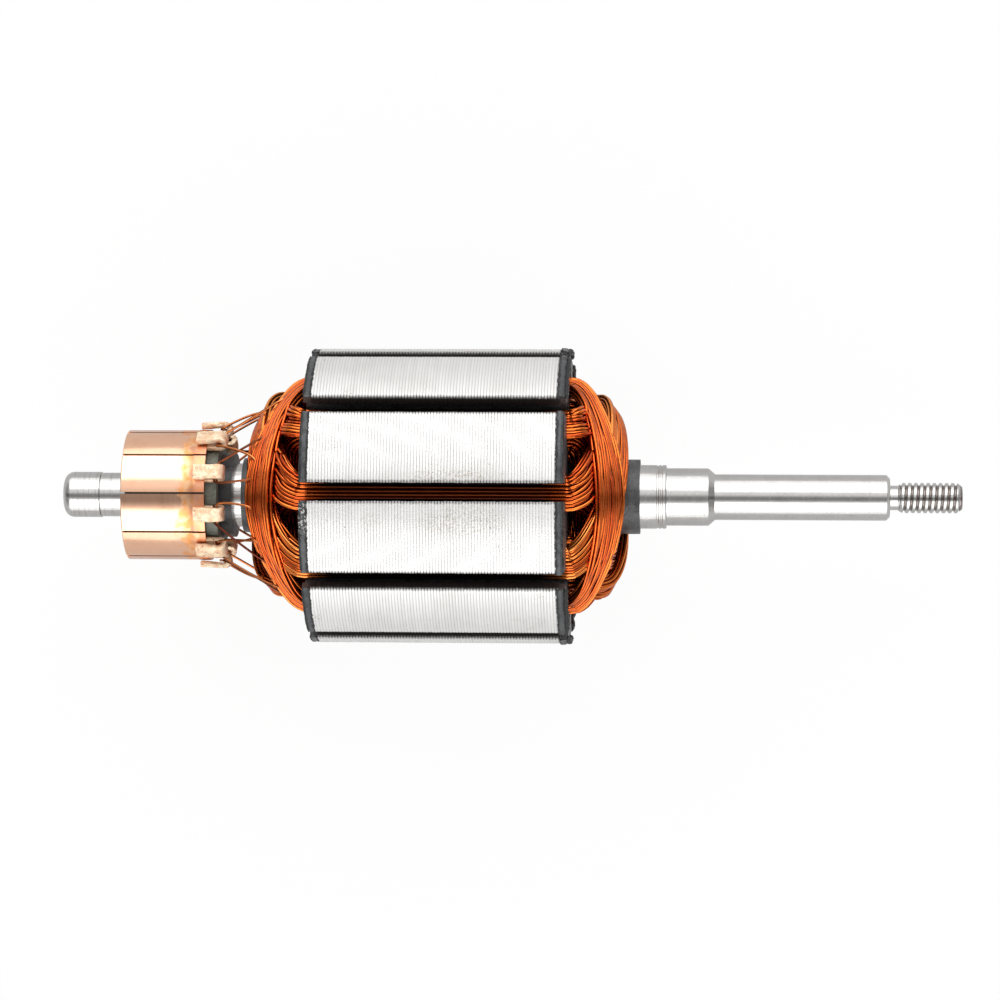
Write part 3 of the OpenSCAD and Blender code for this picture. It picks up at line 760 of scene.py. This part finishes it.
def nooks(paths, verts, sides):
    """How closely the neighbouring wires shut in each point of a wire, from 0, open, to 1, touching."""
    turns, n = len(paths), len(paths[0])
    c = np.stack(paths)
    v = verts.reshape(turns, n, sides, 3)
    probe = v + (v - c[:, :, None])
    out = np.zeros((turns, n, sides))
    for t in range(turns):
        d = np.linalg.norm(probe[t][:, :, None, :] - c.transpose(1, 0, 2)[:, None, :, :], axis=-1)
        d[:, :, t] = 9
        out[t] = np.clip(1 - (d - 0.5 * WIRE_D) / (0.8 * WIRE_D), 0, 1).sum(-1)
    return np.clip(out, 0, 1)


def build_coils():
    sides = 8
    for i in range(SLOTS):
        lines, ups, tone = coil_paths(i)
        paths = [refine(p) for p in lines]
        ups = [unit(refine(u)) for u in ups]
        v, f = tube_mesh(paths, ups, WIRE_D / 2, sides, True)
        ob = make("coil_wires_%02d" % (i + 1), v, f, WIRE, replaces="coil_%02d" % (i + 1))
        keep(ob, "tone", np.repeat(tone, len(paths[0]) * sides))
        # the nook value drives the painted shade between the wires
        keep(ob, "nook", nooks(paths, v, sides))


# ---------------------------------------------------------------- leads from the hooks to the coils
# for the five hooks of each half: the coil, the side of its turn, and how far along it each lead lands
LEAD_COIL = [0, 0, 1, 5, 5]
LEAD_HALF = [1, 1, 1, -1, -1]
LEAD_ON_UP = [0.66, 0.36, 0.34, 0.7, 0.92]
LEAD_ON_DOWN = [0.92, 0.77, 0.62, 0.36, 0.58]


def at_hook(j, x, across, r):
    return placed(np.array([across, r, 0.0]), (j + 0.5) * PITCH, x, 1)


def lead_path(j, way):
    """Centre line of one lead: across hook j, over to its coil, then a short way into the wires."""
    bed = NECK_TOP + WIRE_GAP / 2
    m = j % 5
    i = (LEAD_COIL[m] + (0 if j < 5 else 5)) % SLOTS
    k = layer_of(i)
    side = LEAD_HALF[m]
    up = LEAD_UPPER[k] if side < 0 else TRAIL_UPPER[k]
    t = LEAD_ON_UP[m] if way > 0 else LEAD_ON_DOWN[m]
    c, wide, high, a, b = section_frame(k, side, up, t)[:5]
    land = placed(c + 0.62 * a * wide + (b + LEAD_D / 2 + 0.06) * high, i * PITCH, -CORE_FAR - COAT_T, -FULLER)
    run_dir = unit(placed(heading(half_turn(k, side, up), t), i * PITCH, 0, -FULLER))
    inward = unit(placed(high, i * PITCH, 0, -FULLER))
    x = BEND_X - (0 if way > 0 else LEAD_D + 0.06)
    stub = at_hook(j, x, -way * (HOOK_W / 2 + 0.3), bed)
    first = at_hook(j, x, way * (HOOK_W / 2 + 0.3), bed)
    nxt = at_hook(j, x + 1.1, way * (HOOK_W / 2 + 1.2), bed + (-0.1 if way > 0 else 0.7))
    lift = at_hook(j, 0, 0, 0.1 if way > 0 else 0.7)
    ctrl = (first, nxt, land + lift + 0.3 * (nxt - land), land)
    pts = [stub, (stub + first) / 2] + [on_curve(ctrl, s / 16) for s in range(17)]
    last_dir = unit(pts[-1] - pts[-2])
    turn = 1 if last_dir @ run_dir > 0 else -1
    for s in range(1, 5):
        d = unit(last_dir * (1 - s / 4) + turn * run_dir * (s / 4) - inward * 0.18)
        pts.append(pts[-1] + d * 0.7)
    return np.array(pts)


def build_leads():
    sides = 10
    paths, ups, tones, caps = [], [], [], []
    gen = np.random.default_rng(55)
    for j in range(SLOTS):
        for way in (-1, 1):
            pts = lead_path(j, way)
            caps += end_caps(len(pts), sides, len(paths) * len(pts) * sides)
            paths.append(pts)
            ups.append(np.repeat(at_hook(j, 0, 0, 1)[None, :], len(pts), 0))
            tones.append(np.full(len(pts) * sides, gen.random()))
    verts, faces = tube_mesh(paths, ups, LEAD_D / 2, sides, False)
    ob = make("lead_wires", verts, faces.tolist() + caps, LEAD, sharp=60, replaces="leads")
    keep(ob, "tone", np.concatenate(tones))


# ---------------------------------------------------------------- commutator bars with their hooks
def sector(mid, x, outer, shrink):
    """Closed outline of a bar about angle mid: across the outside, then back across the inside."""
    across, back = 14, 4
    ho = math.asin((SLIT_W / 2 + shrink) / outer)
    hi = math.asin((SLIT_W / 2 + shrink) / BAR_IN)
    out = [(outer, mid - PITCH / 2 + ho + (PITCH - 2 * ho) * j / across) for j in range(across + 1)]
    out += [(BAR_IN, mid + PITCH / 2 - hi - (PITCH - 2 * hi) * j / back) for j in range(back + 1)]
    return [(x, r * math.sin(a), r * math.cos(a)) for r, a in out]


def build_bars():
    # x, radius and how much each side draws back: rounded face, worn track, raw zone, rounded end
    rows = [(-COMM_FACE, COMM_R - 0.2, 0.04), (-COMM_FACE + 0.03, COMM_R - 0.1, 0.02),
            (-COMM_FACE + 0.1, COMM_R - 0.03, 0.01), (-COMM_FACE + 0.2, COMM_R, 0), (-TRACK_END - 4, COMM_R, 0),
            (-TRACK_END, COMM_R, 0), (-TRACK_END + 0.15, COMM_R + 0.09, 0), (-BAR_END - 0.15, COMM_R + 0.1, 0),
            (-BAR_END - 0.03, COMM_R + 0.06, 0.02), (-BAR_END, COMM_R - 0.1, 0.06)]
    for b in range(SLOTS):
        verts = []
        for x, r, shrink in rows:
            verts += sector((b + 0.5) * PITCH, x, r, shrink)
        cols = len(verts) // len(rows)
        faces = grid_faces(len(rows), cols).tolist() + end_caps(len(rows), cols)
        make("bar_body_%02d" % (b + 1), verts, faces, BAR, sharp=32)


def hook_line():
    """Middle line of a hook, as (x, radius, thickness): neck, bend, and back over the bar."""
    line = [(x, NECK_TOP - 0.55, 1.1) for x in np.linspace(-BAR_END - 0.9, BEND_X, 5)]
    r_mid = BEND_R - HOOK_T / 2
    bend_c = HOOK_BACK - BEND_R
    for q in np.radians(np.linspace(-80, 90, 9)):
        line.append((BEND_X + r_mid * math.cos(q), bend_c + r_mid * math.sin(q), HOOK_T))
    tip = BEND_X - HOOK_LEN + BEND_R
    for q in np.linspace(0.12, 1, 9):
        z = HOOK_BACK - HOOK_T / 2 - 0.28 * ease(q) - 0.04
        line.append((BEND_X + (tip + 0.12 - BEND_X) * q, z, HOOK_T + 0.2 * q))
    return np.array(line)


def build_hooks():
    """A flat tongue from each bar's end, bent up and back over the bar, pressed on the wire."""
    around = 20
    line = hook_line()
    tan = unit(np.gradient(line[:, :2], axis=0))
    nor = np.stack([-tan[:, 1], tan[:, 0]], -1)
    # a rounded rectangle of half size 1
    turns = [2 * math.pi * a / around for a in range(around)]
    rim = [(math.copysign(abs(math.cos(th)) ** 0.22, math.cos(th)),
            math.copysign(abs(math.sin(th)) ** 0.34, math.sin(th))) for th in turns]
    for j in range(SLOTS):
        gen = np.random.default_rng(300 + j)
        width = 1 + 0.05 * gen.normal()
        skew = 0.15 * gen.normal()
        verts = []
        for n, (x, z, thick) in enumerate(line):
            w = HOOK_W / 2 * width * (0.96 + 0.05 * math.sin(n * 0.7 + j))
            for across, out in rim:
                o = out * thick / 2
                p = np.array([across * w + skew * (n / len(line)), z + nor[n, 1] * o, x + nor[n, 0] * o])
                lump = noise.noise_vector(Vector((p[0] * 0.9 + j * 7.1, p[1] * 0.9, p[2] * 0.9)))
                verts.append(p + np.array(lump) * (0.10 if n > 5 else 0.03))
        verts = np.array(verts)
        c0 = len(verts)
        k = c0 - around
        verts = np.concatenate([verts, verts[:around].mean(0)[None], verts[-around:].mean(0)[None]])
        faces = grid_faces(len(line), around).tolist()
        for a in range(around):
            b = (a + 1) % around
            faces += [(b, a, c0), (k + a, k + b, c0 + 1)]
        world = placed(verts, (j + 0.5) * PITCH, 0, 1)
        make("hook_%02d" % (j + 1), world, faces, HOOK, sharp=50)


# ---------------------------------------------------------------- coating
def build_coating():
    """The coating as in the source, with its edges on the core drawn back as in the photo."""
    me = nodes["core_insulation"].data.copy()
    co = np.empty(len(me.vertices) * 3, np.float32)
    me.vertices.foreach_get("co", co)
    co = co.reshape(-1, 3)
    x, rad = co[:, 0], np.hypot(co[:, 1], co[:, 2])
    face = -CORE_NEAR + COAT_T
    on_core = rad > (CORE_R - 0.05) * MM
    lap = on_core & (x < (-CORE_NEAR - 0.9) * MM)
    lip = on_core & (x > (face - 0.6) * MM)
    rim = (rad > (CORE_R - 0.5) * MM) & ~lip & (x > (face - 0.2) * MM)
    co[lap, 0] += 0.6 * MM
    co[lip, 0] -= 0.6 * MM
    co[rim, 0] -= 0.5 * MM
    me.vertices.foreach_set("co", co.ravel())
    me.update()
    me.materials.clear()
    me.materials.append(COAT)
    ob = add_object("coating_shell", me)
    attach(ob, "root")
    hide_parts("core_insulation")


def build_beads():
    """Lumpy rim of coating along each tooth's two ends, thick and rough on the drive side."""
    around, steps = 12, 56
    drive = ("drive", -CORE_NEAR + COAT_T - 0.15, CORE_R - 0.52, 0.50, 0.26)
    comm = ("comm", -CORE_FAR - COAT_T + 0.22, CORE_R - 0.45, 0.40, 0.07)
    for label, x, r, thick, rough in (drive, comm):
        verts, faces = [], []
        for k in range(SLOTS):
            a0, a1 = k * PITCH + MOUTH_HALF * 1.03, (k + 1) * PITCH - MOUTH_HALF * 1.03
            # the two teeth that face the photo's camera have a slimmer bead on the drive side
            slim = 0.55 if k in (0, 9) and label == "drive" else 1.0
            base = len(verts)
            for s in range(steps + 1):
                u = s / steps
                a = a0 + (a1 - a0) * u
                fat = thick * slim * min(1.0, 4.05 * math.sqrt(min(u, 1 - u) + 1e-4))
                for c in range(around):
                    th = 2 * math.pi * c / around
                    dr, dx = math.cos(th), math.sin(th)
                    px, pr = x - (1 - slim) * 1.1 + dx * fat, r + dr * fat
                    q = Vector((px * 1.1, pr * math.sin(a) * 1.1, pr * math.cos(a) * 1.1))
                    lump = noise.noise(q) * rough + noise.noise(q * 2.7) * rough * 0.5
                    px += dx * lump
                    pr = min(pr + dr * lump, CORE_R + 0.14)
                    verts.append((px, pr * math.sin(a), pr * math.cos(a)))
            faces += grid_faces(steps + 1, around, base).tolist() + end_caps(steps + 1, around, base)
        make("coating_bead_" + label, verts, faces, BEAD, sharp=70)


# ---------------------------------------------------------------- build
build_shaft()
build_laminations()
build_coils()
build_leads()
build_coating()
build_beads()
for name, ob in nodes.items():
    for word, mat in (("sleeve", SLEEVE), ("commutator_hub", RESIN), ("commutator_collar", RING),
                      ("bar_", BAR)):
        if word in name:
            ob.data.materials.clear()
            ob.data.materials.append(mat)
build_bars()
build_hooks()
# each visual bar stands for the CAD bar whose box has its middle nearest
middles = {n: (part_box(n)[0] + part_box(n)[1]) / 2 for n in nodes if n.startswith("bar_")}
for i in range(SLOTS):
    body = bpy.data.objects["bar_body_%02d" % (i + 1)]
    here = sum((v.co for v in body.data.vertices), Vector()) / len(body.data.vertices)
    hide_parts(min(middles, key=lambda n: (middles[n] - here).length))


# ---------------------------------------------------------------- floor, light and camera
def build_floor():
    half = 3.0
    me = bpy.data.meshes.new("floor")
    me.from_pydata([(-half, -half, 0), (half, -half, 0), (half, half, 0), (-half, half, 0)], [], [(0, 1, 2, 3)])
    ob = add_object("floor", me)
    ob.location = (0, 0, cad_low.z)
    m = bpy.data.materials.new("floor_white")
    m.use_nodes = True
    t = Nodes(m.node_tree, "OutputMaterial")
    rays, seen = t.seen()
    plain = t.node("BsdfDiffuse", (0, t.mix(seen, (0.62, 0.62, 0.62), (0.92, 0.92, 0.92))))
    glow = t.node("Emission", (0, (1, 1, 1)), (1, 1.0))
    # nearly white to the camera, and a grey surface to the light that falls on the part
    share = t.f("MULTIPLY_ADD", rays["Is Glossy Ray"], 0.15, t.mul(seen, 0.93))
    t.put(t.out.inputs[0], t.mix_shader(share, plain, glow).outputs[0])
    me.materials.append(m)


def build_world():
    """White to the camera; mirrored, a band of light and dark round the shaft that fades to its ends."""
    w = bpy.data.worlds.new("studio")
    bpy.context.scene.world = w
    w.use_nodes = True
    t = Nodes(w.node_tree, "OutputWorld")
    x, y, z = t.node("SeparateXYZ", (0, t.node("TexCoord").outputs["Generated"])).outputs
    turn = t.node("MapRange", ("Value", t.f("ARCTAN2", y, z)), ("From Min", -math.pi), ("From Max", math.pi))
    ramp = t.node("ValToRGB", (0, turn.outputs[0]))
    # degrees round the shaft from straight up, and brightness
    stops = [(-125, 0.18), (-98, 0.8), (-90, 1.7), (-76, 1.6), (-68, 1.0), (-26, 1.0), (-21, 0.6), (-15, 0.28),
             (-1, 0.28), (5, 0.75), (11, 1.1), (68, 1.0), (76, 1.6), (90, 1.7), (98, 0.8), (125, 0.18)]
    places = ramp.color_ramp.elements
    places[0].position, places[1].position = [(stops[i][0] + 180) / 360 for i in (0, -1)]
    places[0].color = places[1].color = [stops[0][1] / 2] * 3 + [1]
    for degrees, value in stops[1:-1]:
        places.new((degrees + 180) / 360).color = [value / 2] * 3 + [1]
    ends = t.step(t.f("ABSOLUTE", x), 0.4, 0.8, 2.0, 0.75)
    mirrored = t.node("Background", (0, ramp.outputs[0]), (1, ends))
    soft = t.node("Background", (0, (1, 1, 1)), (1, 0.5))
    white = t.node("Background", (0, (1, 1, 1)), (1, 1.0))
    rays, seen = t.seen()
    lit = t.mix_shader(rays["Is Glossy Ray"], soft, mirrored)
    t.put(t.out.inputs[0], t.mix_shader(seen, lit, white).outputs[0])


def build_lights():
    for name, y in (("key_up", 0.82), ("key_down", -0.85)):
        light = bpy.data.lights.new(name, "AREA")
        light.shape = "RECTANGLE"
        light.size, light.size_y = 1.5, 0.9
        light.energy = 8.0
        ob = add_object(name, light)
        ob.location = (-0.03, y, 0.70)
        ob.rotation_mode = "QUATERNION"
        ob.rotation_quaternion = (Vector((-0.03, 0, 0)) - ob.location).to_track_quat("-Z", "Y")


def build_camera():
    cam = bpy.data.cameras.new("camera")
    cam.lens = 140
    cam.sensor_width = 36
    cam.clip_start, cam.clip_end = 0.05, 10
    ob = add_object("camera", cam)
    at = Vector((-0.0349, -0.00080, 0.0))
    eye = Vector((0.0136, -0.0210, 0.8132))
    back = (eye - at).normalized()
    right = Vector((0, 1, 0)).cross(back).normalized()
    up = back.cross(right)
    roll = math.radians(0.34)
    r2 = right * math.cos(roll) + up * math.sin(roll)
    u2 = up * math.cos(roll) - right * math.sin(roll)
    ob.matrix_world = Matrix(((r2.x, u2.x, back.x, eye.x), (r2.y, u2.y, back.y, eye.y),
                              (r2.z, u2.z, back.z, eye.z), (0, 0, 0, 1)))
    bpy.context.scene.camera = ob


build_floor()
build_world()
build_lights()
build_camera()
bpy.context.scene.view_settings.view_transform = "Standard"
bpy.context.view_layer.update()
